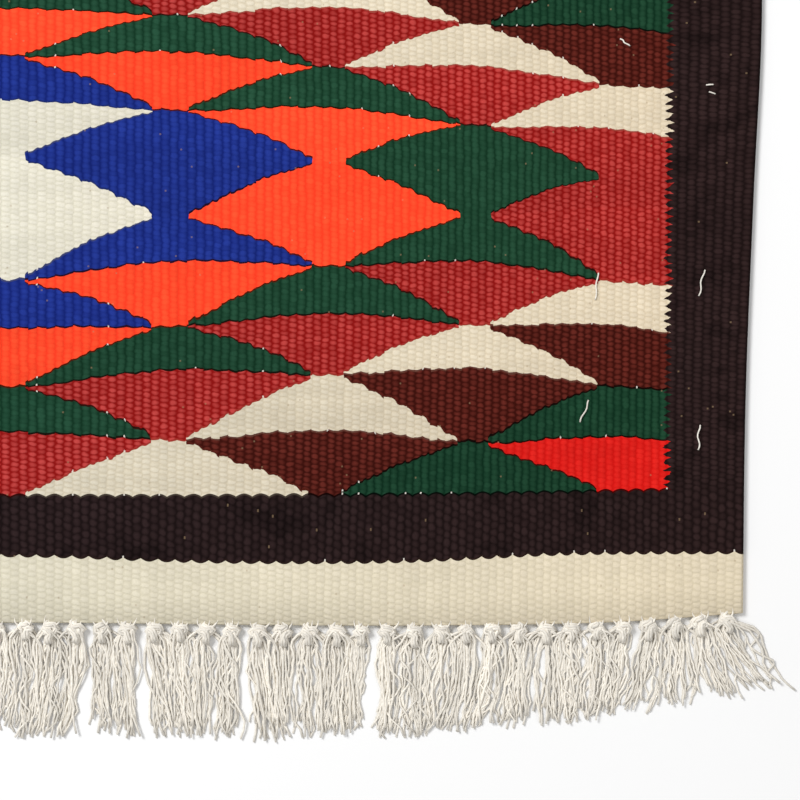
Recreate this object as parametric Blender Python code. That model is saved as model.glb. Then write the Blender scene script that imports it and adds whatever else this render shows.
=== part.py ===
"""Kilim rug: one flat tapestry-woven web with a knotted fringe at each end.

X runs across the rug with the weft, Y runs along it with the warp, and Z is up.
The near end is at -Y. The origin is on the floor, under the middle of the rug with
its fringes. All lengths are in metres.
"""
import math

import bmesh
import bpy

# The web: a flat sheet, thicker than common cloth because its ribs are thick cords.
WEB_LENGTH = 1.324
WEB_THICKNESS = 0.004
WEB_EDGE_ROUND = 0.0012
WEB_CELLS_ACROSS = 8
WEB_CELLS_ALONG = 24

# The fringes: knotted warp ends that lie on the floor past each end of the web.
TASSELS_PER_HALF = 28
SPINE_DEPTH = 0.0032
SPINE_HEIGHT = 0.0026
SPINE_SIDE_INSET = 0.0010
FIT_GAP = 0.0003
TASSEL_GAP = 0.0008
CORNER_HALF_SKIRT = 0.0070
LEAN_CURVE = 1.6

# Half widths of the web, left and right of the middle line, along the rug.
SIDE_ROWS = (
    # along, left, right
    (-0.662, 0.3965, 0.3957),
    (-0.540, 0.3978, 0.3973),
    (-0.430, 0.4000, 0.4016),
    (-0.326, 0.4035, 0.4062),
    (-0.100, 0.4052, 0.4035),
    (0.150, 0.4020, 0.4060),
    (0.400, 0.4058, 0.4018),
    (0.662, 0.3968, 0.3975),
)

# How far the web stops short of its full length, across the rug.
END_ROWS = (
    # across, near, far
    (-0.400, 0.0050, 0.0062),
    (-0.300, 0.0014, 0.0016),
    (-0.150, 0.0002, 0.0008),
    (0.000, 0.0016, 0.0000),
    (0.190, 0.0000, 0.0014),
    (0.320, 0.0016, 0.0010),
    (0.400, 0.0070, 0.0048),
)

# Tassels that hang together, from the middle of an end out to its corner. A lean is
# how far the tips lie outwards of their knots, and a reach is how far they lie past
# the web. The last row is the corner, which sweeps out.
CLUMP_ROWS = (
    # tassels, first lean, last lean, first reach, last reach, gap after
    (3, 0.001, -0.002, 0.060, 0.060, 0.006),
    (2, 0.004, 0.001, 0.058, 0.060, 0.008),
    (4, 0.003, -0.002, 0.060, 0.060, 0.009),
    (5, 0.002, -0.002, 0.061, 0.056, 0.010),
    (2, 0.004, 0.009, 0.059, 0.060, 0.006),
    (8, 0.008, -0.001, 0.058, 0.050, 0.009),
    (4, 0.001, 0.026, 0.049, 0.040, 0.000),
)

# Each half end has the same clumps in an order of its own, and its own corner sweep.
HALF_END_ROWS = (
    # end, side, clump order, corner sweep
    ("near", 1, (0, 1, 2, 3, 4, 5, 6), 1.00),
    ("near", -1, (3, 1, 5, 0, 4, 2, 6), 0.80),
    ("far", 1, (5, 4, 0, 2, 1, 3, 6), 0.70),
    ("far", -1, (2, 4, 3, 1, 5, 0, 6), 0.95),
)

# One tassel from the web to its tips. A width of 0 fills the room that it has.
TASSEL_ROWS = (
    # share of reach, width, height
    (0.06, 0.0088, 0.0046),
    (0.13, 0.0122, 0.0060),
    (0.21, 0.0086, 0.0038),
    (0.50, 0.0000, 0.0032),
    (1.00, 0.0000, 0.0018),
)
ROOT_WIDTH = 0.0046
SECTION_FOOT = 0.72
SECTION_CROWN = 0.62
SECTION_WAIST = 0.42

# Colour, roughness
WEB_LOOK = ((0.60, 0.14, 0.09, 1.0), 0.9)
FRINGE_LOOK = ((0.82, 0.78, 0.70, 1.0), 0.95)


def smooth_value(rows, column, at):
    """Read a column of a table at a place between its rows, along a smooth curve."""
    places = [row[0] for row in rows]
    values = [row[column] for row in rows]
    last = len(rows) - 1
    at = min(max(at, places[0]), places[last])
    low = max(i for i in range(last) if places[i] <= at)
    high = low + 1

    def slope(i):
        before = max(i - 1, 0)
        after = min(i + 1, last)
        return (values[after] - values[before]) / (places[after] - places[before])

    span = places[high] - places[low]
    t = (at - places[low]) / span
    return (
        values[low] * (1 + 2 * t) * (1 - t) ** 2
        + values[high] * t * t * (3 - 2 * t)
        + slope(low) * span * t * (1 - t) ** 2
        - slope(high) * span * t * t * (1 - t)
    )


def side_x(side, y):
    """X of the web's left (-1) or right (1) edge."""
    column = 1 if side < 0 else 2
    return side * smooth_value(SIDE_ROWS, column, y)


def end_y(end, x):
    """Y of the web's near or far edge."""
    if end == "near":
        return -WEB_LENGTH / 2 + smooth_value(END_ROWS, 1, x)
    return WEB_LENGTH / 2 - smooth_value(END_ROWS, 2, x)


def corner_x(end, side):
    """X of one of the web's four corners."""
    outwards = -1 if end == "near" else 1
    return side_x(side, outwards * WEB_LENGTH / 2)


def principled(name, look):
    colour, roughness = look
    material = bpy.data.materials.new(name)
    material.use_nodes = True
    shader = material.node_tree.nodes["Principled BSDF"]
    shader.inputs["Base Color"].default_value = colour
    shader.inputs["Roughness"].default_value = roughness
    shader.inputs["Metallic"].default_value = 0.0
    return material


def finish_object(name, mesh_tools, look):
    """Turn a bmesh into a named object with its own material."""
    bmesh.ops.recalc_face_normals(mesh_tools, faces=mesh_tools.faces)
    mesh = bpy.data.meshes.new(name)
    mesh_tools.to_mesh(mesh)
    mesh_tools.free()
    mesh.shade_smooth()
    mesh.set_sharp_from_angle(angle=math.radians(40))
    mesh.materials.append(principled(name, look))
    made = bpy.data.objects.new(name, mesh)
    bpy.context.collection.objects.link(made)
    return made


def web_point(across, along):
    """A point of the web's outline sheet, from -1 to 1 each way."""
    y = along * WEB_LENGTH / 2
    left = side_x(-1, y)
    right = side_x(1, y)
    x = left + (right - left) * (across + 1) / 2
    end = "near" if along < 0 else "far"
    return x, abs(along) * end_y(end, x), 0.0


def make_web():
    """The woven sheet: its outline extruded upwards, with worn round edges."""
    tools = bmesh.new()
    rows = []
    for j in range(WEB_CELLS_ALONG + 1):
        along = 2 * j / WEB_CELLS_ALONG - 1
        row = []
        for i in range(WEB_CELLS_ACROSS + 1):
            across = 2 * i / WEB_CELLS_ACROSS - 1
            row.append(tools.verts.new(web_point(across, along)))
        rows.append(row)
    for near, far in zip(rows, rows[1:]):
        for i in range(WEB_CELLS_ACROSS):
            tools.faces.new((near[i], near[i + 1], far[i + 1], far[i]))
    grown = bmesh.ops.extrude_face_region(tools, geom=list(tools.faces))
    raised = [item for item in grown["geom"] if isinstance(item, bmesh.types.BMVert)]
    bmesh.ops.translate(tools, verts=raised, vec=(0, 0, WEB_THICKNESS))
    web = finish_object("web", tools, WEB_LOOK)
    bevel = web.modifiers.new("worn edges", "BEVEL")
    bevel.width = WEB_EDGE_ROUND
    bevel.segments = 2
    bevel.limit_method = "ANGLE"
    bevel.angle_limit = math.radians(60)
    return web


def half_end_tassels(end, side, order, corner_sweep):
    """The tassels of one half end, from the middle out, each with its lean and reach."""
    corner = CLUMP_ROWS[-1]
    tassels = []
    for row in (CLUMP_ROWS[index] for index in order):
        count, first_lean, last_lean, first_reach, last_reach, gap_after = row
        sweep = corner_sweep if row is corner else 1.0
        for i in range(count):
            t = i / (count - 1)
            tassels.append(
                {
                    "lean": side * sweep * (first_lean + (last_lean - first_lean) * t),
                    "reach": first_reach + (last_reach - first_reach) * t,
                    "gap": gap_after if i == count - 1 else TASSEL_GAP,
                }
            )
    pitch = (abs(corner_x(end, side)) - SPINE_SIDE_INSET) / TASSELS_PER_HALF
    for i, tassel in enumerate(tassels):
        tassel["root"] = side * (i + 0.5) * pitch
    return tassels


def end_tassels(end):
    """All the tassels of an end, left to right, each with the gap on its right."""
    left, right = [], []
    for row in HALF_END_ROWS:
        if row[0] == end and row[1] < 0:
            left = half_end_tassels(*row)
        elif row[0] == end:
            right = half_end_tassels(*row)
    gaps = [tassel["gap"] for tassel in left[:-1]]
    tassels = list(reversed(left)) + right
    for tassel, gap in zip(tassels, list(reversed(gaps)) + [TASSEL_GAP]):
        tassel["gap"] = gap
    return tassels


def middle_line(tassel, share):
    """X of the middle of a tassel at a share of its reach."""
    return tassel["root"] + tassel["lean"] * share ** LEAN_CURVE


def room(tassels, index, share):
    """The left and right bounds that a tassel has at a share of its reach."""
    here = middle_line(tassels[index], share)
    bounds = []
    for step, gap_owner in ((-1, index - 1), (1, index)):
        neighbour = index + step
        if 0 <= neighbour < len(tassels):
            gap = TASSEL_GAP + (tassels[gap_owner]["gap"] - TASSEL_GAP) * share
            there = middle_line(tassels[neighbour], share)
            bounds.append((here + there) / 2 - step * gap / 2)
        else:
            bounds.append(here + step * CORNER_HALF_SKIRT)
    return bounds


def tassel_section(left, right, y, height):
    """Six points round a tassel, from its left foot over its crown to its right foot."""
    middle = (left + right) / 2
    half = (right - left) / 2
    return (
        (middle - half * SECTION_FOOT, y, 0.0),
        (left, y, height * SECTION_WAIST),
        (middle - half * SECTION_CROWN, y, height),
        (middle + half * SECTION_CROWN, y, height),
        (right, y, height * SECTION_WAIST),
        (middle + half * SECTION_FOOT, y, 0.0),
    )


def make_fringe(name, end):
    """One comb: a low spine along the web's end, and a tooth for each tassel."""
    outwards = -1 if end == "near" else 1
    tassels = end_tassels(end)
    tools = bmesh.new()

    # The spine has a station at both sides of every tassel's root, and at its ends.
    stations = [corner_x(end, -1) + SPINE_SIDE_INSET]
    for tassel in tassels:
        stations.append(tassel["root"] - ROOT_WIDTH / 2)
        stations.append(tassel["root"] + ROOT_WIDTH / 2)
    stations.append(corner_x(end, 1) - SPINE_SIDE_INSET)
    rings = []
    for x in stations:
        inner = end_y(end, x) + outwards * FIT_GAP
        outer = inner + outwards * SPINE_DEPTH
        waist = SPINE_HEIGHT * SECTION_WAIST
        corners = (
            (x, inner, 0.0),
            (x, outer, 0.0),
            (x, outer, waist),
            (x, outer, SPINE_HEIGHT),
            (x, inner, SPINE_HEIGHT),
        )
        rings.append([tools.verts.new(corner) for corner in corners])
    for index, (here, there) in enumerate(zip(rings, rings[1:])):
        under_tassel = index % 2 == 1
        for a, b in ((0, 1), (1, 2), (2, 3), (3, 4), (4, 0)):
            outer_wall = (a, b) in ((1, 2), (2, 3))
            if not (under_tassel and outer_wall):
                tools.faces.new((here[a], here[b], there[b], there[a]))
    tools.faces.new(rings[0])
    tools.faces.new(rings[-1])

    # Each tooth grows out of the spine's open slot, section by section, to its tips.
    for index, tassel in enumerate(tassels):
        left_ring = rings[2 * index + 1]
        right_ring = rings[2 * index + 2]
        section = left_ring[1:4] + right_ring[3:0:-1]
        web_edge = end_y(end, tassel["root"]) + outwards * (FIT_GAP + SPINE_DEPTH)
        for share, width, height in TASSEL_ROWS:
            left, right = room(tassels, index, share)
            if width:
                middle = middle_line(tassel, share)
                left, right = middle - width / 2, middle + width / 2
            y = web_edge + outwards * share * (tassel["reach"] - SPINE_DEPTH)
            points = tassel_section(left, right, y, height)
            ahead = [tools.verts.new(point) for point in points]
            for i in range(len(section)):
                j = (i + 1) % len(section)
                tools.faces.new((section[i], section[j], ahead[j], ahead[i]))
            section = ahead
        tools.faces.new(section)
    return finish_object(name, tools, FRINGE_LOOK)


def main():
    for old in list(bpy.data.objects):
        bpy.data.objects.remove(old)
    make_web()
    make_fringe("fringe_near", "near")
    make_fringe("fringe_far", "far")


main()
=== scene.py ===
"""Looks of the kilim rug: its ribbed tapestry weave, design, fringes and loose threads.

Everything is in metres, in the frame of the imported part: X across the rug, Y along it,
Z up, near end at -Y. A rib is the ridge that one warp cord makes, counted outwards from
the middle line. A band is one row of triangles of the design, and a float is the short
stretch of weft that shows over one rib. Both are counted from the near end of the design.
"""

import math

import bpy
import numpy as np
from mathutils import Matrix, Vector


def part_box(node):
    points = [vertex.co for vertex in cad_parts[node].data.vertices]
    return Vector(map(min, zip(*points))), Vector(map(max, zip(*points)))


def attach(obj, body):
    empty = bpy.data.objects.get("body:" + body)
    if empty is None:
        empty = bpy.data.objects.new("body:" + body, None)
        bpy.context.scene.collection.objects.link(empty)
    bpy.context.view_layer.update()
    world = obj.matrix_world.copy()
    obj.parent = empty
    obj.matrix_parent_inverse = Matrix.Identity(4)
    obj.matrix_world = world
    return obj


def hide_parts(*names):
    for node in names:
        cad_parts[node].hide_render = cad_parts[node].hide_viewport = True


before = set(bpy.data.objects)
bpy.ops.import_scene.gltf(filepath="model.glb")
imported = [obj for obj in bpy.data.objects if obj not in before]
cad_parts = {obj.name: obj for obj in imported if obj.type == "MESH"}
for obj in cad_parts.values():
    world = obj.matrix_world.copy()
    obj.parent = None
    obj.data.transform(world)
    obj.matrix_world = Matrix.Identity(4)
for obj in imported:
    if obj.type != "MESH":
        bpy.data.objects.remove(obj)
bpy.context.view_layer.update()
WEB_LOW, WEB_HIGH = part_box("web")
THICKNESS = WEB_HIGH[2] - WEB_LOW[2]

# The weave, in ribs, floats and bands. The design has a column of triangles for each
# side-to-side repeat, and the columns are counted outwards from the middle line.
HALF_RIBS = 90
FIELD_RIBS = 81
COLUMN_RIBS = 18.6
LAST_COLUMN = 4
COLUMN_SHIFT = 0.35
NECK_RIBS = 2.05
TIP_SHARE = 0.055
BANDS = 41
MEDALLION_BANDS = 10
FIELD_FLOATS = 424
DARK_FLOATS = 8
PALE_FLOATS = 11

# The weave, in metres
WEB_HALF_LENGTH = 0.662
FIELD_HALF_LENGTH = 0.5904
BAND_LENGTH = 2 * FIELD_HALF_LENGTH / BANDS
FIELD_HALF_WIDTH = 0.3555
USUAL_HALF_WIDTH = 0.400
FIELD_WIDENS = 0.15
BASE_BOW = 0.0025
RIB_WANDER = 0.0022
RIB_WANDER_LENGTH = 0.65
RIB_WANDER_START = -0.60
LEFT_WANDER_SHARE = 0.4
VALLEY_DEPTH = 0.00026
EDGE_BULGE = 0.0007
END_ROUND = 0.0010
SCALLOP = 0.0005
DARK_SCALLOP = 0.0009
OUTLINE = 0.00045
EDGE_JOG = 0.0007
EDGE_SHAKE = 0.0010

# Mesh points for each rib. The top has twice as many as the underside.
TOP_POINTS_PER_RIB = 4
LOW_POINTS_PER_RIB = 2

# Rows of mesh points in the near pale and dark ends, in bands. The first two round the end.
END_MESH_ROWS = (-2.0, -1.98, -1.5, -1.0)

# The ribs in section: how full their tops are, and how their height varies.
RIB_FULLNESS = 0.7
RIB_HEIGHT = 0.94
RIB_HEIGHT_VARIES = 0.06

# Half widths of the web, left and right of the middle line, along the rug.
SIDE_ROWS = (
    # along, left, right
    (-0.662, 0.3965, 0.3957),
    (-0.540, 0.3978, 0.3973),
    (-0.430, 0.4000, 0.4016),
    (-0.326, 0.4035, 0.4062),
    (-0.100, 0.4052, 0.4035),
    (0.150, 0.4020, 0.4060),
    (0.400, 0.4058, 0.4018),
    (0.662, 0.3968, 0.3975),
)

# How the ribs of the field share its half width: they stand closer towards the sides.
RIB_ROWS = (
    # rib, share of the width
    (0, 0.0),
    (9, 0.1211),
    (33, 0.4317),
    (57, 0.7194),
    (81, 1.0),
)

# How far the web stops short of its full length, across the rug.
END_ROWS = (
    # across, near, far
    (-0.400, 0.0050, 0.0062),
    (-0.300, 0.0014, 0.0016),
    (-0.150, 0.0002, 0.0008),
    (0.000, 0.0016, 0.0000),
    (0.190, 0.0000, 0.0014),
    (0.320, 0.0016, 0.0010),
    (0.400, 0.0070, 0.0048),
)

# Where the dark end band meets the pale one: its distance from the rug's middle.
DARK_END_ROWS = (
    # across, near, far
    (-0.400, 0.6228, 0.6236),
    (-0.180, 0.6262, 0.6222),
    (0.000, 0.6238, 0.6250),
    (0.110, 0.6272, 0.6262),
    (0.210, 0.6270, 0.6240),
    (0.300, 0.6228, 0.6222),
    (0.400, 0.6222, 0.6236),
)

# How far the edge of each band strays from even spacing, counted from the near end.
WANDER_ROWS = (
    # edge, at the middle, half way out, at the side border
    (0, -0.0011, -0.0008, 0.0016),
    (1, 0.0020, 0.0025, -0.0007),
    (2, 0.0018, 0.0089, 0.0024),
    (3, 0.0001, 0.0087, 0.0017),
    (4, 0.0021, 0.0102, 0.0016),
    (5, 0.0073, 0.0084, 0.0082),
    (6, 0.0115, 0.0088, -0.0004),
    (7, 0.0087, 0.0049, -0.0076),
    (8, 0.0085, 0.0026, -0.0077),
    (9, 0.0003, 0.0008, -0.0095),
    (12, -0.0030, 0.0020, -0.0020),
    (16, 0.0040, -0.0030, 0.0030),
    (21, -0.0020, 0.0035, -0.0030),
    (26, 0.0030, -0.0020, 0.0040),
    (32, -0.0040, 0.0030, -0.0020),
    (37, 0.0030, 0.0010, 0.0040),
    (41, 0.0000, -0.0010, 0.0010),
)


def smooth_value(rows, column, at):
    """Read a column of a table at places between its rows, along a smooth curve."""
    places = np.array([row[0] for row in rows], float)
    values = np.array([row[column] for row in rows], float)
    at = np.clip(np.asarray(at, float), places[0], places[-1])
    low = np.clip(np.searchsorted(places, at, side="right") - 1, 0, len(rows) - 2)
    high = low + 1
    before = np.maximum(np.arange(len(rows)) - 1, 0)
    after = np.minimum(np.arange(len(rows)) + 1, len(rows) - 1)
    slopes = (values[after] - values[before]) / (places[after] - places[before])
    span = places[high] - places[low]
    t = (at - places[low]) / span
    return (
        values[low] * (1 + 2 * t) * (1 - t) ** 2
        + values[high] * t * t * (3 - 2 * t)
        + slopes[low] * span * t * (1 - t) ** 2
        - slopes[high] * span * t * t * (1 - t)
    )


def web_half_width(side, y):
    """Distance from the middle line to the web's left or right edge."""
    left = smooth_value(SIDE_ROWS, 1, y)
    right = smooth_value(SIDE_ROWS, 2, y)
    return np.where(side < 0, left, right)


def end_y(end, x):
    """Y of the web's near (-1) or far (1) edge."""
    column = 1 if end < 0 else 2
    return end * (WEB_HALF_LENGTH - smooth_value(END_ROWS, column, x))


def rib_x(rib, y):
    """X of a rib at a place along the rug."""
    side = np.sign(rib)
    out = np.abs(rib)
    half = web_half_width(side, y)
    field = FIELD_HALF_WIDTH + FIELD_WIDENS * (half - USUAL_HALF_WIDTH)
    inner = field * smooth_value(RIB_ROWS, 1, out)
    border_share = (out - FIELD_RIBS) / (HALF_RIBS - FIELD_RIBS)
    outer = field + (half - field) * border_share
    wave = np.sin(2 * math.pi * (y - RIB_WANDER_START) / RIB_WANDER_LENGTH)
    lean = RIB_WANDER * wave * np.sin(math.pi * np.minimum(out, FIELD_RIBS) / FIELD_RIBS)
    return side * (np.where(out > FIELD_RIBS, outer, inner) + lean)


def band_edge_y(edge, rib):
    """Y of the edge between two bands of the design, which bows at each triangle."""
    out = np.abs(rib) / (COLUMN_RIBS * LAST_COLUMN)
    middle = smooth_value(WANDER_ROWS, 1, edge)
    halfway = smooth_value(WANDER_ROWS, 2, edge)
    border = smooth_value(WANDER_ROWS, 3, edge)
    bend = 2 * middle + 2 * border - 4 * halfway
    slope = border - middle - bend
    share = np.where(rib < 0, LEFT_WANDER_SHARE, 1.0)
    stray = middle + share * (slope * out + bend * out * out)
    within = (edge > 0) & (edge < BANDS)
    bow = np.cos(math.pi * (rib / COLUMN_RIBS + edge + 1)) * np.where(within, BASE_BOW, 0)
    even = -FIELD_HALF_LENGTH + 2 * FIELD_HALF_LENGTH * edge / BANDS
    return even + stray + bow


def bands_y(bands, rib):
    """Y of a place on a rib, counted in bands from the near end of the design.

    The dark band and the pale end count as one band each.
    """
    if 0 <= bands <= BANDS:
        edge = min(math.floor(bands), BANDS - 1)
        low = band_edge_y(edge, rib)
        return low + (band_edge_y(edge + 1, rib) - low) * (bands - edge)
    end = -1 if bands < 0 else 1
    past = -bands if bands < 0 else bands - BANDS
    x = rib_x(rib, end * WEB_HALF_LENGTH)
    dark_edge = end * smooth_value(DARK_END_ROWS, 1 if end < 0 else 2, x)
    if past <= 1:
        field_edge = band_edge_y(0 if end < 0 else BANDS, rib)
        return field_edge + (dark_edge - field_edge) * past
    return dark_edge + (end_y(end, x) - dark_edge) * (past - 1)


def floats_at(bands, rib, y):
    """How many floats lie between the near end of the design and a place."""
    if 0 <= bands <= BANDS:
        low, high = band_edge_y(0, rib), band_edge_y(BANDS, rib)
        return FIELD_FLOATS * (y - low) / (high - low)
    past = -bands if bands < 0 else bands - BANDS
    floats = min(past, 1) * DARK_FLOATS + max(past - 1, 0) * PALE_FLOATS
    return np.full_like(y, -floats if bands < 0 else FIELD_FLOATS + floats)


def add_floats(mesh, name, values):
    layer = mesh.attributes.new(name, "FLOAT", "POINT")
    layer.data.foreach_set("value", np.ascontiguousarray(values, np.float32).ravel())


def add_vectors(mesh, name, values):
    layer = mesh.attributes.new(name, "FLOAT_VECTOR", "POINT")
    layer.data.foreach_set("vector", np.ascontiguousarray(values, np.float32).ravel())


def new_object(name, points, faces, material):
    mesh = bpy.data.meshes.new(name)
    mesh.from_pydata(points, [], faces)
    mesh.update()
    mesh.shade_smooth()
    mesh.materials.append(material)
    made = bpy.data.objects.new(name, mesh)
    bpy.context.collection.objects.link(made)
    return made


def grid_faces(first, rows, columns, flip):
    """Quads over a grid of points that starts at index first."""
    corner = first + np.arange((rows - 1) * columns).reshape(rows - 1, columns)[:, :-1]
    ring = [corner, corner + 1, corner + columns + 1, corner + columns]
    quads = np.stack(ring, axis=-1).reshape(-1, 4)
    return (quads[:, ::-1] if flip else quads).tolist()


def mesh_rows():
    """Where the mesh has a row of points, in bands, from the near end to the far end."""
    near = np.array(END_MESH_ROWS)
    field = np.linspace(0, BANDS, 2 * BANDS + 1)
    return np.concatenate([near, field, BANDS - near[::-1]])


def web_surface(rows, per_rib):
    """Points of the ribbed sheet: ribs, bands, floats, x, y and rib height, 0 to 1."""
    ribs = np.linspace(-HALF_RIBS, HALF_RIBS, 2 * HALF_RIBS * per_rib + 1)
    rib_grid = np.tile(ribs, (len(rows), 1))
    band_grid = np.tile(rows[:, None], (1, len(ribs)))
    y = np.stack([bands_y(place, ribs) for place in rows])
    x = rib_x(rib_grid, y)
    floats = np.stack([floats_at(place, ribs, at) for place, at in zip(rows, y)])
    crest = np.abs(np.sin(math.pi * rib_grid)) ** RIB_FULLNESS
    unevenness = RIB_HEIGHT_VARIES * np.sin(0.9 * rib_grid + 1.7 * np.sin(0.5 * band_grid))
    return rib_grid, band_grid, floats, x, y, crest * (RIB_HEIGHT + unevenness)


def make_web(material):
    """The woven sheet as one closed mesh, with a ridge for each warp cord on each face."""
    rows = mesh_rows()
    count = len(rows)
    top = web_surface(rows, TOP_POINTS_PER_RIB)
    low = web_surface(rows, LOW_POINTS_PER_RIB)
    top_z = THICKNESS - VALLEY_DEPTH * (1 - top[5])
    low_z = VALLEY_DEPTH * (1 - low[5])
    top_z[[0, -1]] -= END_ROUND
    low_z[[0, -1]] += END_ROUND
    sides = [values[:, [0, -1]] for values in top[:5]]
    sides[3] = sides[3] + np.array([-EDGE_BULGE, EDGE_BULGE])
    side_z = np.full((count, 2), THICKNESS / 2)
    layers = [(*top[:5], top_z), (*low[:5], low_z), (*sides, side_z)]
    rib, bands, floats, x, y, z = (
        np.concatenate([layer[i].ravel() for layer in layers]) for i in range(6)
    )
    top_columns, low_columns = top_z.shape[1], low_z.shape[1]
    low_first = count * top_columns
    side_first = low_first + count * low_columns
    faces = grid_faces(0, count, top_columns, False)
    faces += grid_faces(low_first, count, low_columns, True)
    for row in range(count - 1):
        for side, top_column, low_column in ((0, 0, 0), (1, top_columns - 1, low_columns - 1)):
            above = row * top_columns + top_column
            middle = side_first + row * 2 + side
            below = low_first + row * low_columns + low_column
            upper = [above, above + top_columns, middle + 2, middle]
            lower = [middle, middle + 2, below + low_columns, below]
            faces += [upper, lower] if side == 0 else [upper[::-1], lower[::-1]]
    for row, flip in ((0, False), (count - 1, True)):
        above = row * top_columns
        below = low_first + row * low_columns
        middle = side_first + row * 2
        walls = []
        for half in range(low_columns - 1):
            upper = [above + 2 * half + step for step in (2, 1, 0)]
            walls.append([below + half, below + half + 1] + upper)
        walls.append([above, middle, below])
        walls.append([above + top_columns - 1, below + low_columns - 1, middle + 1])
        faces += [wall[::-1] for wall in walls] if flip else walls
    web = new_object("woven_web", np.stack([x, y, z], axis=1).tolist(), faces, material)
    add_floats(web.data, "rib", rib)
    add_floats(web.data, "bands", bands)
    add_floats(web.data, "floats", floats)
    return web


# Yarn colours in the order of the design's steps, then the dark band and the pale end:
# the crests of its floats, lit, with a painted highlight, and the grooves between them, with
# painted shade, each as 8-bit screen colours, and how plainly its floats stand apart along a
# rib. Above 1 they also fill the rib's width.
YARNS = (
    # name, lit crest red, green, blue, shaded groove red, green, blue, apart
    ("pale", 219, 212, 193, 208, 201, 179, 1.20),
    ("blue", 33, 52, 134, 17, 32, 104, 0.40),
    ("orange", 255, 80, 45, 244, 60, 33, 0.40),
    ("green", 35, 74, 53, 15, 49, 31, 0.35),
    ("red", 182, 64, 60, 134, 17, 15, 0.95),
    ("pale", 217, 207, 184, 204, 192, 166, 1.20),
    ("brown", 102, 40, 32, 59, 15, 9, 0.90),
    ("green", 29, 66, 46, 9, 42, 26, 0.35),
    ("scarlet", 222, 37, 31, 202, 21, 17, 0.55),
    ("dark", 49, 35, 35, 27, 17, 17, 0.75),
    ("pale", 224, 215, 191, 212, 203, 177, 1.20),
)
BROWN_YARN = 6
DARK_YARN = 9
END_YARN = 10
LIT_CREST_COLUMN = 1
SHADED_GROOVE_COLUMN = 4
APART_COLUMN = 7

# How floats lie: their slant, and how far they stray along and across the ribs. Those that
# fill their rib still fall away at its sides. The top of a float is painted lighter with this
# share of its lit crest colour, or up to twice as much, and the rest has the painted shade of
# its groove colour.
FLOAT_SLANT = 0.16
FLOAT_SHAKE = 0.9
RIB_SWAY = 0.5
FULL_SIDE_FALL = 0.8
LIT_CREST_SHARE = 0.65

# The height of a float in metres, and that of its fibres as a share of it.
RELIEF = 0.00014
FIBRE_RELIEF = 0.35

# Edges of the design climb in steps of one rib, mixed with a share of steps of two. The
# side borders have teeth. A tooth is half as deep as its size in ribs, and noise adds to it.
TWO_RIB_STEPS = 0.4
STEP_SHARPNESS = 3.0
TEETH_PER_FLOAT = 0.66
TOOTH_SHAKE = 0.4
TOOTH_SIZE = 0.6
TOOTH_SIZE_VARIES = 2.8

# Where two yarns meet, a thin line of painted shade has their two colours multiplied and dimmed.
MEETING_SHARE = 0.95
MEETING_SHADE = 0.9

# How far the shade strays either way from 1, for each cause. Some lots of the brown yarn
# are darker still.
PICK_STRAY = 0.03
CORD_STRAY = 0.03
ABRASH_STRAY = 0.12
FIBRE_STRAY = 0.15
LOT_STRAY = 0.08
BROWN_FADE = 0.20

# The yarns are cooler towards the middle of the rug and warmer towards its sides, and
# here and there a fleck of chaff is caught in them. The dark border has blacker smudges.
INNER_TINT = (0.90, 0.925, 0.97)
OUTER_TINT = (0.985, 0.94, 0.92)
SMUDGE = 3.0
SMUDGE_FROM = 0.54
DARKEST_SMUDGE = 0.35
FLECK = (150, 125, 95)
FLECK_CHANCE = 0.0012
FLECK_SHARE = 0.38

# Where edges between colours dip between two ribs, a little bare white warp may show.
BARE_WIDTH = 0.14
BARE_CHANCE = 0.13
BARE_SHARE = 0.65

# Fringe cotton: its 8-bit screen colour, the shade of its darkest thread and how much
# lighter another can be. Then its plies: the length of a turn, their usual shade, how far
# painted shade darkens the grooves between them and lightens their tops, and their height in
# metres.
COTTON = (243, 237, 226)
DARKEST_THREAD = 0.76
THREAD_LIGHTER = 0.26
PLY_LENGTH = 0.0032
PLY_SHADE = 0.99
PLY_GROOVE_SHADE = 0.03
PLY_RELIEF = 0.00003


def linear(colour):
    """Screen colour, 0 to 255, as linear light, 0 to 1."""
    return tuple(((value / 255 + 0.055) / 1.055) ** 2.4 for value in colour)


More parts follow.
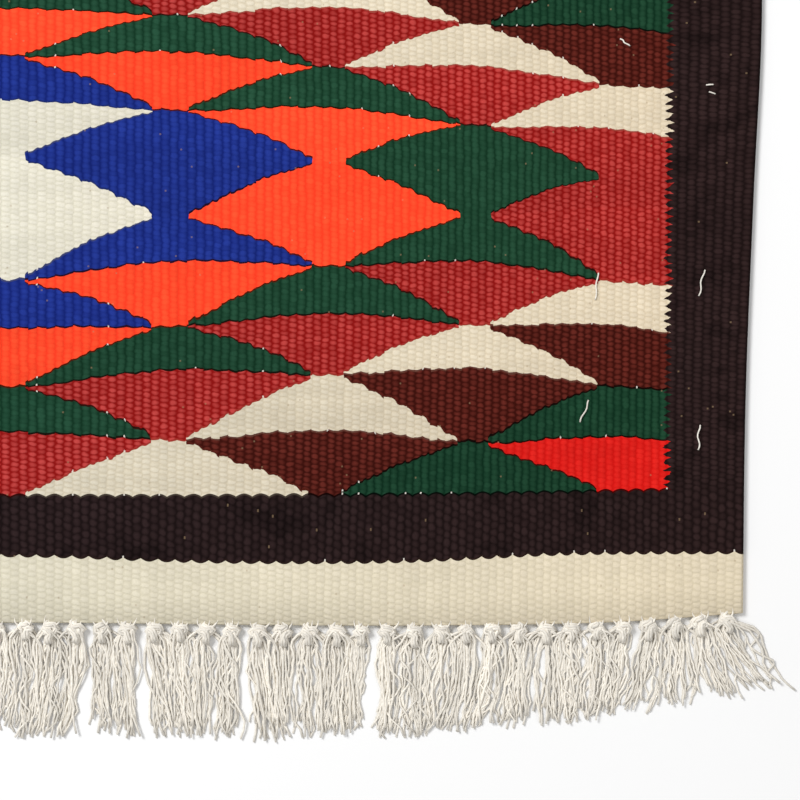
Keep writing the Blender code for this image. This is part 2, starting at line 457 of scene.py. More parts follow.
class Graph:
    """Short calls that add nodes to a material and join them."""

    def __init__(self, name):
        self.material = bpy.data.materials.new(name)
        self.material.use_nodes = True
        self.nodes = self.material.node_tree.nodes
        self.links = self.material.node_tree.links
        self.shader = self.nodes["Principled BSDF"]

    def put(self, socket, value):
        """Join a socket to another, or set it to a number or a colour."""
        if isinstance(value, bpy.types.NodeSocket):
            self.links.new(value, socket)
        else:
            socket.default_value = value

    def math(self, operation, *values):
        node = self.nodes.new("ShaderNodeMath")
        node.operation = operation
        for socket, value in zip(node.inputs, values):
            self.put(socket, value)
        return node.outputs[0]

    def add(self, a, b):
        return self.math("ADD", a, b)

    def subtract(self, a, b):
        return self.math("SUBTRACT", a, b)

    def times(self, a, b):
        return self.math("MULTIPLY", a, b)

    def mix(self, share, a, b):
        """A number that goes from a to b as share goes from 0 to 1."""
        return self.math("MULTIPLY_ADD", share, self.subtract(b, a), a)

    def clamp(self, value, low, high):
        return self.math("MINIMUM", self.math("MAXIMUM", value, low), high)

    def stray(self, value, amount):
        """A factor that goes from 1 - amount to 1 + amount as value goes from 0 to 1."""
        return self.math("MULTIPLY_ADD", value, 2 * amount, 1 - amount)

    def attribute(self, name, output="Fac"):
        node = self.nodes.new("ShaderNodeAttribute")
        node.attribute_name = name
        return node.outputs[output]

    def vector(self, x, y, z):
        node = self.nodes.new("ShaderNodeCombineXYZ")
        for socket, value in zip(node.inputs, (x, y, z)):
            self.put(socket, value)
        return node.outputs[0]

    def noise(self, vector, scale, detail=2.0):
        node = self.nodes.new("ShaderNodeTexNoise")
        self.put(node.inputs["Vector"], vector)
        self.put(node.inputs["Scale"], scale)
        self.put(node.inputs["Detail"], detail)
        return node.outputs["Fac"]

    def cloud(self, x, x_scale, y, y_scale, seed, detail=2.0):
        """Noise over two numbers, each with a scale of its own."""
        place = self.vector(self.times(x, x_scale), self.times(y, y_scale), seed)
        return self.noise(place, 1.0, detail)

    def dice(self, vector):
        """One random number, 0 to 1, for each vector. A constant in it is a seed."""
        node = self.nodes.new("ShaderNodeTexWhiteNoise")
        self.put(node.inputs["Vector"], vector)
        return node.outputs["Value"]

    def lookup(self, share, stops):
        """The colour of the last stop at or before a place between 0 and 1."""
        node = self.nodes.new("ShaderNodeValToRGB")
        node.color_ramp.interpolation = "CONSTANT"
        ramp = node.color_ramp.elements
        while len(ramp) < len(stops):
            ramp.new(1.0)
        for element, (place, colour) in zip(ramp, stops):
            element.position = place
            element.color = (*colour, 1.0)
        self.put(node.inputs["Fac"], share)
        return node.outputs["Color"]

    def scale_colour(self, colour, factor):
        node = self.nodes.new("ShaderNodeVectorMath")
        node.operation = "SCALE"
        self.put(node.inputs[0], colour)
        self.put(node.inputs["Scale"], factor)
        return node.outputs[0]

    def multiply_colours(self, a, b):
        node = self.nodes.new("ShaderNodeVectorMath")
        node.operation = "MULTIPLY"
        self.put(node.inputs[0], a)
        self.put(node.inputs[1], b)
        return node.outputs[0]

    def mix_colour(self, share, a, b):
        node = self.nodes.new("ShaderNodeMix")
        node.data_type = "RGBA"
        self.put(node.inputs["Factor"], share)
        self.put(node.inputs["A"], a)
        self.put(node.inputs["B"], b)
        return node.outputs["Result"]

    def bump(self, height, distance):
        node = self.nodes.new("ShaderNodeBump")
        self.put(node.inputs["Height"], height)
        self.put(node.inputs["Distance"], distance)
        return node.outputs["Normal"]


def float_at(graph, rib, floats):
    """The float at a point: its rib, its place, and how far out the point is on it.

    Floats on one rib stand end to end, and those on the next rib are half a float on.
    """
    g = graph
    number = g.math("FLOOR", rib)
    across = g.subtract(g.subtract(rib, number), 0.5)
    shift = g.times(g.math("FLOORED_MODULO", number, 2.0), 0.5)
    slanted = g.math("MULTIPLY_ADD", across, FLOAT_SLANT, floats)
    place = g.math("ROUND", g.subtract(slanted, shift))
    along = g.subtract(g.subtract(slanted, shift), place)
    return number, g.add(place, shift), g.times(across, 2.0), g.times(along, 2.0)


def scallop(graph, rib, size):
    """Edges between colours wave once for every two ribs. Size is in metres."""
    wave = graph.math("ABSOLUTE", graph.math("COSINE", graph.times(rib, math.pi / 2)))
    return graph.times(graph.subtract(graph.times(wave, math.pi / 2), 1.0), size / BAND_LENGTH)


def stair(graph, out, ribs):
    """The same distance from the middle line, climbing in rounded steps of some ribs."""
    g = graph
    counted = g.times(out, 1 / ribs)
    whole = g.math("FLOOR", counted)
    across = g.subtract(g.subtract(counted, whole), 0.5)
    eased = g.math("POWER", g.math("ABSOLUTE", across), STEP_SHARPNESS)
    eased = g.times(eased, g.times(g.math("SIGN", across), 2 ** (STEP_SHARPNESS - 1)))
    return g.times(g.add(g.add(whole, 0.5), eased), ribs)


def yarn_number(graph, rib, bands, stray, teeth):
    """Which row of YARNS a place has. The edges within the field stray some bands."""
    g = graph
    wavy = g.add(g.add(bands, stray), scallop(g, rib, SCALLOP))
    out = g.math("ABSOLUTE", rib)
    shifted = g.add(out, COLUMN_SHIFT)
    stepped = g.mix(TWO_RIB_STEPS, stair(g, shifted, 1.0), stair(g, shifted, 2.0))
    column = g.math("FLOOR", g.math("DIVIDE", stepped, COLUMN_RIBS))
    column = g.math("MINIMUM", column, LAST_COLUMN)
    past_column = g.subtract(stepped, g.times(column, COLUMN_RIBS))
    band = g.clamp(g.math("FLOOR", wavy), 0.0, BANDS - 1)
    share = g.subtract(wavy, band)
    wide_first = g.math("FLOORED_MODULO", g.add(column, band), 2.0)
    widening = g.mix(wide_first, share, g.subtract(1.0, share))
    blunt = g.math("DIVIDE", g.subtract(widening, TIP_SHARE), 1 - 2 * TIP_SHARE)
    blunt = g.clamp(blunt, 0.0, 1.0)
    half_width = g.math("MULTIPLY_ADD", blunt, COLUMN_RIBS - 2 * NECK_RIBS, NECK_RIBS)
    next_column = g.math("GREATER_THAN", past_column, half_width)
    inner_column = g.math("LESS_THAN", column, LAST_COLUMN - 0.5)
    column = g.add(column, g.times(next_column, inner_column))
    step = g.math("FLOORED_MODULO", band, MEDALLION_BANDS)
    from_centre = g.math("ABSOLUTE", g.subtract(step, MEDALLION_BANDS / 2))
    number = g.add(column, g.math("MAXIMUM", g.subtract(from_centre, 1.0), 0.0))
    from_middle = g.math("ABSOLUTE", g.subtract(bands, BANDS / 2))
    bulge = scallop(g, rib, DARK_SCALLOP)
    past_side = g.math("GREATER_THAN", g.add(out, teeth), FIELD_RIBS)
    inner_bulge = scallop(g, g.add(rib, 1.0), DARK_SCALLOP)
    past_field = g.math("GREATER_THAN", g.add(from_middle, inner_bulge), BANDS / 2)
    past_dark = g.math("GREATER_THAN", g.subtract(from_middle, bulge), BANDS / 2 + 1)
    dark = g.math("MAXIMUM", past_side, past_field)
    return g.mix(past_dark, g.mix(dark, number, DARK_YARN), END_YARN)


def yarn_colour(graph, number, column):
    """Look up a colour of a yarn, whose red, green and blue start at a column."""
    count = len(YARNS)
    stops = [(i / count, linear(yarn[column:column + 3])) for i, yarn in enumerate(YARNS)]
    share = graph.math("DIVIDE", graph.add(number, 0.5), count)
    return graph.lookup(share, stops)


def yarn_value(graph, number, column):
    """Look up a number that each yarn has."""
    count = len(YARNS)
    stops = [(i / count, (yarn[column],) * 3) for i, yarn in enumerate(YARNS)]
    share = graph.math("DIVIDE", graph.add(number, 0.5), count)
    return graph.lookup(share, stops)


def wool_shade(graph, rib, bands, floats, number, float_rib, float_place, fibres):
    """How light a place is beside its yarn's usual colour: a vector, for its tint too."""
    g = graph
    lot = g.dice(g.vector(g.math("FLOOR", bands), number, 9.0))
    shade = g.stray(g.dice(g.vector(number, float_place, 2.0)), PICK_STRAY)
    shade = g.times(shade, g.stray(g.dice(g.vector(float_rib, number, 3.0)), CORD_STRAY))
    shade = g.times(shade, g.stray(g.cloud(rib, 0.05, floats, 0.12, number), ABRASH_STRAY))
    shade = g.times(shade, g.stray(fibres, FIBRE_STRAY))
    shade = g.times(shade, g.stray(lot, LOT_STRAY))
    is_brown = g.math("COMPARE", number, BROWN_YARN, 0.5)
    shade = g.times(shade, g.subtract(1.0, g.times(g.times(is_brown, lot), BROWN_FADE)))
    smudge = g.subtract(g.cloud(rib, 0.21, floats, 0.18, 8.0), SMUDGE_FROM)
    smudge = g.clamp(g.times(smudge, SMUDGE), 0.0, DARKEST_SMUDGE)
    is_dark = g.math("COMPARE", number, DARK_YARN, 0.5)
    shade = g.times(shade, g.subtract(1.0, g.times(is_dark, smudge)))
    outer = g.math("MINIMUM", g.times(g.math("ABSOLUTE", rib), 1 / FIELD_RIBS), 1.0)
    tint = g.mix_colour(outer, g.vector(*INNER_TINT), g.vector(*OUTER_TINT))
    return g.scale_colour(tint, shade)


def bare_warp(graph, rib, bands):
    """1 where an edge that dips between two ribs may show bare warp, and 0 elsewhere."""
    g = graph
    dip = g.math("ABSOLUTE", g.math("COSINE", g.times(rib, math.pi / 2)))
    cusp = g.math("ROUND", g.times(g.subtract(rib, 1.0), 0.5))
    chance = g.dice(g.vector(cusp, g.math("ROUND", bands), 12.0))
    chosen = g.math("GREATER_THAN", chance, 1 - BARE_CHANCE)
    return g.times(g.math("LESS_THAN", dip, BARE_WIDTH), chosen)


def wool_material():
    """Weft-faced tapestry weave in coarse dyed wool."""
    g = Graph("woven wool")
    rib = g.attribute("rib")
    bands = g.attribute("bands")
    floats = g.attribute("floats")
    shake = g.subtract(g.noise(g.vector(rib, floats, 0.0), 0.8), 0.5)
    sway = g.subtract(g.noise(g.vector(floats, rib, 5.0), 0.4), 0.5)
    shaken = g.add(floats, g.times(shake, FLOAT_SHAKE))
    swayed = g.add(rib, g.times(sway, RIB_SWAY))
    float_rib, float_place, across, along = float_at(g, swayed, shaken)

    # The design, whose edges wave with the ribs and have teeth at the side borders.
    tooth = g.add(g.times(shaken, TEETH_PER_FLOAT), g.times(shake, TOOTH_SHAKE))
    tooth = g.math("PINGPONG", tooth, 0.5)
    uneven = g.noise(g.vector(floats, 7.0, 0.0), 0.9)
    size = g.math("MULTIPLY_ADD", uneven, TOOTH_SIZE_VARIES, TOOTH_SIZE)
    teeth = g.times(g.subtract(tooth, 0.25), size)
    pair = g.math("FLOOR", g.times(rib, 0.5))
    jog = g.add(g.dice(g.vector(g.math("FLOOR", rib), g.math("ROUND", bands), 4.0)), -1.0)
    jog = g.add(jog, g.dice(g.vector(pair, 5.0, 4.0)))
    stray = g.times(g.add(g.times(jog, EDGE_JOG), g.times(shake, EDGE_SHAKE)), 1 / BAND_LENGTH)
    outline = OUTLINE / BAND_LENGTH
    number = yarn_number(g, swayed, g.add(bands, outline), stray, teeth)
    other = yarn_number(g, swayed, g.subtract(bands, outline), stray, teeth)
    differ = g.math("MINIMUM", g.math("ABSOLUTE", g.subtract(number, other)), 1.0)
    # The lit crest colour holds a painted highlight, and the groove colour painted shade.
    crest = yarn_colour(g, number, LIT_CREST_COLUMN)
    shaded_groove = yarn_colour(g, number, SHADED_GROOVE_COLUMN)
    # A thin line of painted shade where two yarns meet: both colours multiplied, then dimmed.
    painted_meeting_shade = g.multiply_colours(crest, yarn_colour(g, other, LIT_CREST_COLUMN))

    # Each float is an oval dome in the bump. Its colour has a painted highlight on top and
    # painted shade in the grooves round it.
    apart = yarn_value(g, number, APART_COLUMN)
    rounded = g.times(across, across)
    filling = g.math("GREATER_THAN", apart, 1.0)
    sideways = g.mix(filling, rounded, g.times(g.times(rounded, rounded), FULL_SIDE_FALL))
    reach = g.add(sideways, g.times(g.times(along, along), apart))
    dome = g.math("MAXIMUM", g.subtract(1.0, reach), 0.0)
    each = g.dice(g.vector(float_rib, float_place, 1.0))
    shine = g.math("MULTIPLY_ADD", g.times(dome, each), LIT_CREST_SHARE, g.times(dome, LIT_CREST_SHARE))
    colour = g.mix_colour(g.math("MINIMUM", shine, 1.0), shaded_groove, crest)
    painted_meeting_shade = g.scale_colour(painted_meeting_shade, MEETING_SHADE)
    colour = g.mix_colour(g.times(differ, MEETING_SHARE), colour, painted_meeting_shade)
    fibres = g.cloud(rib, 5.0, floats, 6.0, 3.0, 4.0)
    shade = wool_shade(g, rib, bands, floats, number, float_rib, float_place, fibres)
    colour = g.multiply_colours(colour, shade)

    # Small flecks, and bare warp at some edges.
    fleck_rib = g.math("FLOOR", g.times(rib, 5.0))
    fleck_place = g.math("FLOOR", g.times(floats, 3.0))
    fleck = g.dice(g.vector(fleck_rib, fleck_place, 6.0))
    fleck = g.times(g.math("GREATER_THAN", fleck, 1 - FLECK_CHANCE), FLECK_SHARE)
    colour = g.mix_colour(fleck, colour, g.vector(*linear(FLECK)))
    bare = g.times(g.times(bare_warp(g, swayed, bands), differ), BARE_SHARE)
    colour = g.mix_colour(bare, colour, g.vector(*linear(COTTON)))
    g.put(g.shader.inputs["Base Color"], colour)
    height = g.add(dome, g.times(fibres, FIBRE_RELIEF))
    g.put(g.shader.inputs["Normal"], g.bump(height, RELIEF))
    g.shader.inputs["Roughness"].default_value = 0.95
    g.shader.inputs["Specular IOR Level"].default_value = 0.05
    return g.material


def cotton_material():
    """Undyed cotton thread, whose plies wind round it."""
    g = Graph("fringe cotton")
    strand = g.nodes.new("ShaderNodeSeparateXYZ")
    g.put(strand.inputs[0], g.attribute("strand", "Vector"))
    turn = g.math("ARCTAN2", strand.outputs[1], strand.outputs[0])
    winding = g.times(strand.outputs[2], 2 * math.pi / PLY_LENGTH)
    ply = g.math("SINE", g.add(g.times(turn, 2.0), winding))
    thread = g.attribute("thread")
    dice = g.dice(g.vector(thread, 0.0, 0.0))
    shade = g.math("MULTIPLY_ADD", dice, THREAD_LIGHTER, DARKEST_THREAD)
    # The ply wave, which also drives the bump, paints the grooves between plies darker as shade.
    shade = g.times(shade, g.math("MULTIPLY_ADD", ply, PLY_GROOVE_SHADE, PLY_SHADE))
    colour = g.scale_colour(g.vector(*linear(COTTON)), shade)
    g.put(g.shader.inputs["Base Color"], colour)
    g.put(g.shader.inputs["Normal"], g.bump(ply, PLY_RELIEF))
    g.shader.inputs["Roughness"].default_value = 0.9
    g.shader.inputs["Specular IOR Level"].default_value = 0.1
    return g.material


def plain_material(name, colour, roughness):
    g = Graph(name)
    g.shader.inputs["Base Color"].default_value = (*colour, 1.0)
    g.shader.inputs["Roughness"].default_value = roughness
    g.shader.inputs["Specular IOR Level"].default_value = 0.1
    return g.material


# Fringes: the tassels of each half end, and how the comb sits on the web's edge
TASSELS_PER_HALF = 28
SPINE_SIDE_INSET = 0.0010
FIT_GAP = 0.0003
TASSEL_GAP = 0.0008
USUAL_REACH = 0.060
LEAN_CURVE = 1.6
NEAR_SEED = 7
FAR_SEED = 11

# How tassels differ. Their leans drift from one to the next, and each has a share of its
# room. Threads spread further into a wide room, and further the more their tassel leans.
TASSEL_DRIFT = 0.0120
DRIFT_WEIGHTS = (1, 2, 3, 2, 1)
ROOM_SHARES = (0.68, 1.12)
WIDE_ROOM = 0.005
WIDE_ROOM_GAIN = 1.2
FAN = 14.0

# The loose threads below a knot: where they leave it, and how they lie. Lengths are in
# metres, and shares are of a tassel's reach or of its room. Some threads are curlier.
THREADS = 22
THREAD_STEPS = 15
THREAD_SIDES = 4
THREAD_RADIUS = 0.00070
THREAD_RADII = (0.8, 1.15)
THREAD_TIP = 0.8
THREAD_LENGTHS = (0.84, 1.05)
STEP_CROWDING = 1.15
START_OUT = 0.0030
OPEN_SHARE = 0.17
KNOT_HALF_WIDTH = 0.0036
PLACE_KEPT = 0.45
PLACE_SCATTER = 0.7
PLACE_LIMIT = 1.6
HOOK = 0.0022
HOOK_FROM = 0.55
CURLY_CHANCE = 0.18
SWINGS = (0.0005, 0.0024)
CURLY_SWING = 0.9
CYCLES = (0.6, 1.5)
CURLY_CYCLES = 0.7
CRINKLE = 0.00036
PILE_AT_KNOT = 0.0056
PILE_FALL = 0.0036
LIFT = 0.0005
LIFT_LEAD = 1.0

# Knots. The turn that their strands make round one another is in radians.
KNOT_STRANDS = 6
KNOT_STEPS = 15
KNOT_SIDES = 5
KNOT_RADIUS = 0.0009
KNOT_WINDING_RADIUS = 0.0014
KNOT_TURN = 3.5
KNOT_SIZES = (0.95, 1.20)
KNOT_SHIFT = 0.0004
KNOT_JITTER = 0.00035

# The warp ends above each knot, which lie on the pale end, gather towards the knot, swell
# and drop as they pass the web's edge. Pitches, lengths and radii are in metres.
WARPS_PER_KNOT = 3
WARP_STEPS = 5
WARP_PITCH = 0.0043
WARP_PITCH_AT_KNOT = 0.0014
WARP_PLACE_JITTER = 0.15
WARP_TILT = 0.0009
WARP_LENGTHS = (0.0010, 0.0042)
WARP_PAST_EDGE = 0.0030
WARP_GATHERS_OVER = 0.0042
WARP_GATHER_CURVE = 1.2
WARP_SUNK = 0.0003
WARP_ARCH = 1.3
WARP_DROP = 0.35
WARP_RADIUS = 0.00036
WARP_RADII = (0.8, 1.1)
WARP_START = 0.3
WARP_SWELLS = 1.8

# Tassels that hang together, from the middle of an end out to its corner, in metres.
CLUMP_ROWS = (
    # tassels, first lean, last lean, first reach, last reach, gap after
    (3, 0.001, -0.002, 0.060, 0.060, 0.006),
    (2, 0.004, 0.001, 0.058, 0.060, 0.008),
    (4, 0.003, -0.002, 0.060, 0.060, 0.009),
    (5, 0.002, -0.002, 0.061, 0.056, 0.010),
    (2, 0.004, 0.009, 0.059, 0.060, 0.006),
    (8, 0.008, -0.001, 0.058, 0.050, 0.009),
    (4, 0.001, 0.026, 0.049, 0.040, 0.000),
)

# The order of the clumps on each half end, and how far its corner sweeps out.
HALF_END_ROWS = (
    # end, side, clumps, corner sweep
    (-1, 1, (0, 1, 2, 3, 4, 5, 6), 1.00),
    (-1, -1, (3, 1, 5, 0, 4, 2, 6), 0.80),
    (1, 1, (5, 4, 0, 2, 1, 3, 6), 0.70),
    (1, -1, (2, 4, 3, 1, 5, 0, 6), 0.95),
)

# One bundle of warp as it ties its knot, in millimetres from the web's edge.
KNOT_ROWS = (
    # step, across, outwards, height
    (0, 0.0, -1.6, 1.8),
    (1, 1.8, 0.4, 2.6),
    (2, 0.0, 1.2, 3.4),
    (3, -2.5, 1.6, 3.0),
    (4, -2.9, 3.3, 2.2),
    (5, 0.0, 4.2, 1.9),
    (6, 2.7, 3.7, 2.4),
    (7, 2.7, 2.2, 3.0),
    (8, 0.6, 3.2, 3.6),
    (9, -0.2, 5.8, 3.0),
    (10, 0.0, 9.4, 2.2),
)


def end_tassels(end):
    """Every tassel of an end: root, lean, reach, and its room on the left and right."""
    tassels = []
    for row_end, side, order, corner_sweep in HALF_END_ROWS:
        if row_end != end:
            continue
        half = web_half_width(side, end * WEB_HALF_LENGTH) - SPINE_SIDE_INSET
        pitch = half / TASSELS_PER_HALF
        place = 0.5
        inner_room = (pitch - TASSEL_GAP) / 2
        for index in order:
            count, first_lean, last_lean, first_reach, last_reach, gap = CLUMP_ROWS[index]
            sweep = corner_sweep if index == len(CLUMP_ROWS) - 1 else 1.0
            for i in range(count):
                t = i / (count - 1)
                lean = side * sweep * (first_lean + (last_lean - first_lean) * t)
                reach = first_reach + (last_reach - first_reach) * t
                outer_room = (pitch - (gap if i == count - 1 else TASSEL_GAP)) / 2
                rooms = (inner_room, outer_room)
                tassels.append((side * place * pitch, lean, reach, *rooms[::int(side)]))
                inner_room = outer_room
                place += 1
    return np.array(tassels).T


def tubes(paths, radius, sides):
    """Closed tubes along paths of shape (tube, step, xyz).

    Gives their points, faces and strand values, and how many points each tube has.
    """
    count, steps, _ = paths.shape
    tangent = np.gradient(paths, axis=1)
    tangent /= np.linalg.norm(tangent, axis=2, keepdims=True)
    across = np.cross(tangent, (0.0, 0.0, 1.0))
    across /= np.linalg.norm(across, axis=2, keepdims=True)
    upward = np.cross(across, tangent)
    angle = 2 * math.pi * np.arange(sides) / sides
    cos = np.cos(angle)[:, None]
    sin = np.sin(angle)[:, None]
    spoke = cos * across[:, :, None, :] + sin * upward[:, :, None, :]
    points = paths[:, :, None, :] + spoke * radius[:, :, None, None]
    leg = np.linalg.norm(np.diff(paths, axis=1), axis=2)
    length = np.concatenate([np.zeros((count, 1)), np.cumsum(leg, axis=1)], axis=1)
    strand = np.empty(points.shape)
    strand[..., 0] = cos[:, 0]
    strand[..., 1] = sin[:, 0]
    strand[..., 2] = length[:, :, None]
    tube = (np.arange(count) * steps * sides)[:, None, None]
    ring = (np.arange(steps - 1) * sides)[:, None]
    spot = np.arange(sides)
    near = tube + ring + spot
    beside = tube + ring + (spot + 1) % sides
    quads = np.stack([near, beside, beside + sides, near + sides], axis=-1).reshape(-1, 4)
    first = (tube[:, 0] + spot)[:, ::-1]
    last = tube[:, 0] + (steps - 1) * sides + spot
    faces = quads.tolist() + first.tolist() + last.tolist()
    return points.reshape(-1, 3), faces, strand.reshape(-1, 3), steps * sides


# Every tube has a number, from which the cotton's shader throws its dice.
GROUP_NUMBERS = 10000
NUMBER_SPACING = 0.37


def join_tubes(name, groups, material):
    """One object of several groups of tubes, each given as paths, radius and sides."""
    points, faces, strands, threads = [], [], [], []
    total = 0
    for paths, radius, sides in groups:
        group_points, group_faces, strand, size = tubes(paths, radius, sides)
        faces += [[total + index for index in face] for face in group_faces]
        numbers = np.arange(len(paths)) + len(threads) * GROUP_NUMBERS
        threads.append(np.repeat(numbers, size))
        points.append(group_points)
        strands.append(strand)
        total += len(group_points)
    made = new_object(name, np.concatenate(points).tolist(), faces, material)
    add_floats(made.data, "thread", np.concatenate(threads) * NUMBER_SPACING)
    add_vectors(made.data, "strand", np.concatenate(strands))
    return made


def skirt_threads(end, dice):
    """Paths of the loose threads below the knots of one end."""
    tassels = end_tassels(end)
    weights = np.array(DRIFT_WEIGHTS) / sum(DRIFT_WEIGHTS)
    drift = dice.normal(0, TASSEL_DRIFT, tassels.shape[1] + len(weights) - 1)
    tassels[1] += np.convolve(drift, weights, "valid")
    tassels[3:] *= dice.uniform(*ROOM_SHARES, tassels.shape[1])
    roots, leans, reaches, left, right = np.repeat(tassels, THREADS, axis=1)[:, :, None]
    count = len(roots)
    length = dice.uniform(*THREAD_LENGTHS, (count, 1))
    share = length * np.linspace(0, 1, THREAD_STEPS) ** STEP_CROWDING
    opened = np.clip(share / OPEN_SHARE, 0, 1)
    opened = opened * (2 - opened)
    start = dice.uniform(-1, 1, (count, 1))
    finish = PLACE_KEPT * start + dice.normal(0, PLACE_SCATTER, (count, 1))
    finish = np.clip(finish, -PLACE_LIMIT, PLACE_LIMIT)
    spread = (1 - opened) * start * KNOT_HALF_WIDTH
    room = np.where(finish < 0, left, right)
    room = room * np.where(room > WIDE_ROOM, WIDE_ROOM_GAIN, 1.0) * (1 + FAN * np.abs(leans))
    spread += opened * finish * room
    hooked = np.clip((share - HOOK_FROM) / (1 - HOOK_FROM), 0, 1) ** 2
    hook = dice.normal(0, HOOK, (count, 1)) * hooked
    curly = dice.uniform(size=(count, 1)) < CURLY_CHANCE
    swing = dice.uniform(*SWINGS, (count, 1)) * (1 + CURLY_SWING * curly)
    cycles = dice.uniform(*CYCLES, (count, 1)) * (1 + CURLY_CYCLES * curly)
    phase = dice.uniform(0, 2 * math.pi, (count, 1))
    wave = swing * np.sin(2 * math.pi * cycles * share + phase) * opened
    crinkle = dice.normal(0, CRINKLE, share.shape) * opened
    x = roots + leans * share**LEAN_CURVE + spread + wave + hook + crinkle
    y = end_y(end, roots) + end * (START_OUT + (reaches - START_OUT) * share)
    pile = PILE_AT_KNOT - PILE_FALL * opened
    lift = LIFT * np.sin(2 * math.pi * cycles * share + phase + LIFT_LEAD) * opened
    taper = np.linspace(1.0, THREAD_TIP, THREAD_STEPS)
    radius = THREAD_RADIUS * dice.uniform(*THREAD_RADII, (count, 1)) * taper
    z = np.maximum(radius, dice.uniform(0, 1, (count, 1)) * pile + lift)
    return np.stack([x, y, z], axis=2), radius


def knot_strands(end, dice):
    """Paths of the strands in each knot, which wind round one another."""
    roots, leans = end_tassels(end)[:2]
    steps = np.linspace(0, KNOT_ROWS[-1][0], KNOT_STEPS)
    across, out, height = (smooth_value(KNOT_ROWS, column, steps) / 1000 for column in (1, 2, 3))
    paths = []
    for root, lean in zip(roots, leans):
        mirror = dice.choice((-1, 1))
        wide = dice.uniform(*KNOT_SIZES)
        deep = dice.uniform(*KNOT_SIZES)
        shift = dice.normal(0, KNOT_SHIFT)
        jitter = dice.normal(0, KNOT_JITTER, (3, KNOT_STEPS))
        follow = lean * (np.maximum(out, 0) / USUAL_REACH) ** LEAN_CURVE
        x = root + shift + mirror * wide * across + follow + jitter[0]
        y = end_y(end, root) + end * (FIT_GAP + deep * out + jitter[1])
        z = height + 0.5 * jitter[2]
        middle = np.stack([x, y, z], axis=1)
        tangent = np.gradient(middle, axis=0)
        sideways = np.cross(tangent, (0.0, 0.0, 1.0))
        sideways /= np.linalg.norm(sideways, axis=1, keepdims=True)
        winding = np.linspace(0, KNOT_TURN, KNOT_STEPS) + dice.uniform(0, 2 * math.pi)
        for strand in range(KNOT_STRANDS):
            angle = winding + 2 * math.pi * strand / KNOT_STRANDS
            offset = np.cos(angle)[:, None] * sideways
            offset[:, 2] += np.sin(angle)
            paths.append(middle + KNOT_WINDING_RADIUS * offset)
    paths = np.array(paths)
    paths[..., 2] = np.maximum(paths[..., 2], KNOT_RADIUS)
    return paths, np.full(paths.shape[:2], KNOT_RADIUS)


def warp_ends(end, dice):
    """Short lengths of warp that show on the pale end, leading down to each knot."""
    roots = np.repeat(end_tassels(end)[0], WARPS_PER_KNOT)[:, None]
    place = np.tile(np.linspace(-1, 1, WARPS_PER_KNOT), len(roots) // WARPS_PER_KNOT)[:, None]
    place = place + dice.normal(0, WARP_PLACE_JITTER, place.shape)
    share = np.linspace(0, 1, WARP_STEPS)
    length = dice.uniform(*WARP_LENGTHS, roots.shape)
    out = -length + (length + WARP_PAST_EDGE) * share
    gathered = 1 + (out - WARP_PAST_EDGE) / WARP_GATHERS_OVER
    gathered = np.clip(gathered, 0, 1) ** WARP_GATHER_CURVE
    tilt = dice.normal(0, WARP_TILT, roots.shape) * (1 - share)
    x = roots + tilt + place * (WARP_PITCH + (WARP_PITCH_AT_KNOT - WARP_PITCH) * gathered)
    y = end_y(end, roots) + end * out
    arch = np.sin(math.pi * np.minimum(share * WARP_ARCH, 1))
    z = THICKNESS + WARP_SUNK * (arch - 1) - np.maximum(out, 0) * WARP_DROP
    thick = np.minimum(WARP_START + 2 * share, 1) + WARP_SWELLS * gathered
    radius = WARP_RADIUS * dice.uniform(*WARP_RADII, roots.shape) * thick
    return np.stack([x, y, z], axis=2), radius


def make_fringe(end, name, material):
    """The knots, loose threads and warp ends of one end of the rug."""
    dice = np.random.default_rng(NEAR_SEED if end < 0 else FAR_SEED)
    groups = [
        (*skirt_threads(end, dice), THREAD_SIDES),
        (*knot_strands(end, dice), KNOT_SIDES),
        (*warp_ends(end, dice), THREAD_SIDES),
    ]
    return join_tubes(name, groups, material)


# Loose white threads on the face: their two ends in metres from the rug's middle, and how
# far they bend. They wave along the face and rise a little from it.
LOOSE_ROWS = (
    # across, along, second across, second along, bend
    (0.3162, -0.4858, 0.3177, -0.4712, 0.0004),
    (0.3722, -0.4837, 0.3751, -0.4696, 0.0006),
    (0.3081, -0.5519, 0.3131, -0.5399, -0.0005),
    (0.3719, -0.5669, 0.3724, -0.5534, 0.0007),
    (0.3297, -0.3447, 0.3346, -0.3485, 0.0005),
    (0.3762, -0.3697, 0.3800, -0.3694, 0.0002),
    (0.3778, -0.3734, 0.3811, -0.3745, 0.0001),
)
LOOSE_STEPS = 9
LOOSE_SIDES = 6
LOOSE_RADIUS = 0.0004
LOOSE_HEIGHT = 0.0003
LOOSE_LIFT = 0.0005
LOOSE_HALF_WAVES = 2.6


def make_loose_threads(material):
    """Stray ends of white thread that lie on the face of the web."""
    share = np.linspace(0, 1, LOOSE_STEPS)
    paths = []
    for x, y, far_x, far_y, bend in LOOSE_ROWS:
        bow = bend * np.sin(LOOSE_HALF_WAVES * math.pi * share)
        height = THICKNESS + LOOSE_HEIGHT + LOOSE_LIFT * np.sin(math.pi * share)
        paths.append(np.stack([x + (far_x - x) * share + bow, y + (far_y - y) * share, height], 1))
    paths = np.array(paths)
    radius = np.full(paths.shape[:2], LOOSE_RADIUS)
    return join_tubes("loose_threads", [(paths, radius, LOOSE_SIDES)], material)


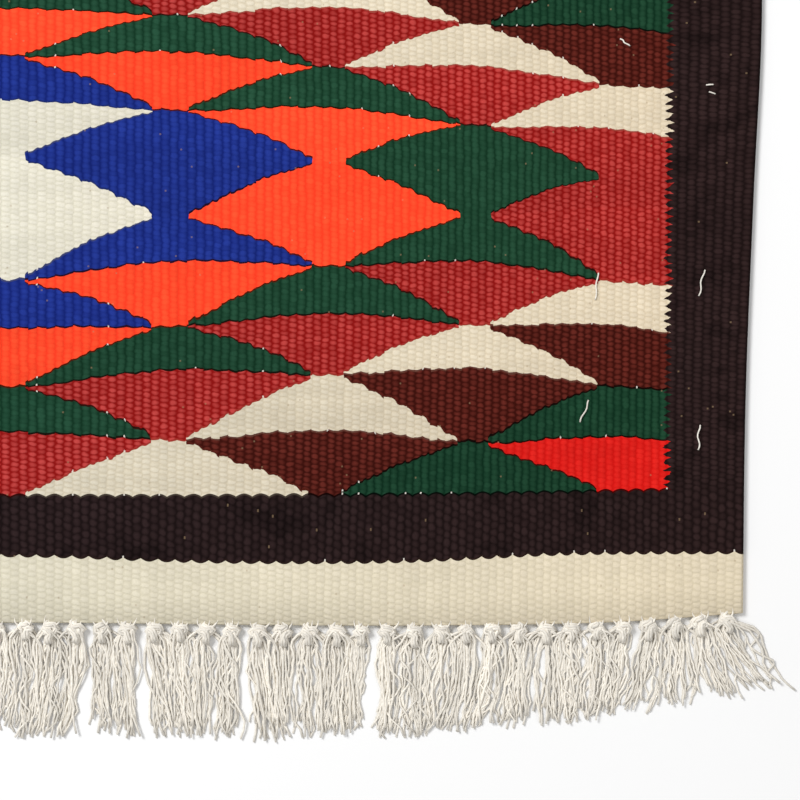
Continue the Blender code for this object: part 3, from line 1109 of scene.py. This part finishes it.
# Camera, straight above the near right corner. The picture is this wide at the web's face.
PICTURE_WIDTH = 0.4324
PICTURE_X = 0.2108
PICTURE_Y = -0.5399
LENS = 85.0
SENSOR = 36.0

# Floor and light
FLOOR_HALF = 8.0
FLOOR_GREY = 0.86
SKY_STRENGTH = 0.50
LAMPS = (
    # name, watts, size, place
    ("key_light", 88.0, 1.0, (-1.5, 0.9, 2.3)),
    ("fill_light", 16.0, 2.4, (2.0, -1.8, 2.2)),
)


def make_stage():
    """A pale floor, a soft key light, a softer fill and the camera."""
    half = FLOOR_HALF
    corners = [(-half, -half, 0), (half, -half, 0), (half, half, 0), (-half, half, 0)]
    paint = plain_material("floor paint", (FLOOR_GREY,) * 3, 0.9)
    floor = new_object("floor", corners, [(0, 1, 2, 3)], paint)
    for name, watts, size, place in LAMPS:
        light = bpy.data.lights.new(name, "AREA")
        light.energy = watts
        light.size = size
        lamp = bpy.data.objects.new(name, light)
        lamp.location = place
        lamp.rotation_euler = (-lamp.location).to_track_quat("-Z", "Y").to_euler()
        bpy.context.collection.objects.link(lamp)
    world = bpy.data.worlds.new("studio")
    world.use_nodes = True
    background = world.node_tree.nodes["Background"]
    background.inputs["Color"].default_value = (1, 1, 1, 1)
    background.inputs["Strength"].default_value = SKY_STRENGTH
    bpy.context.scene.world = world
    bpy.context.scene.view_settings.view_transform = "Standard"
    lens = bpy.data.cameras.new("camera")
    lens.lens = LENS
    lens.sensor_width = SENSOR
    camera = bpy.data.objects.new("camera", lens)
    camera.location = (PICTURE_X, PICTURE_Y, THICKNESS + PICTURE_WIDTH * LENS / SENSOR)
    bpy.context.collection.objects.link(camera)
    bpy.context.scene.camera = camera


make_stage()
web = make_web(wool_material())
cotton = cotton_material()
near_fringe = make_fringe(-1, "fringe_near_threads", cotton)
far_fringe = make_fringe(1, "fringe_far_threads", cotton)
loose_threads = make_loose_threads(cotton)
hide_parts("web")
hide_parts("fringe_near")
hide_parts("fringe_far")
for piece in (web, near_fringe, far_fringe, loose_threads):
    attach(piece, "root")
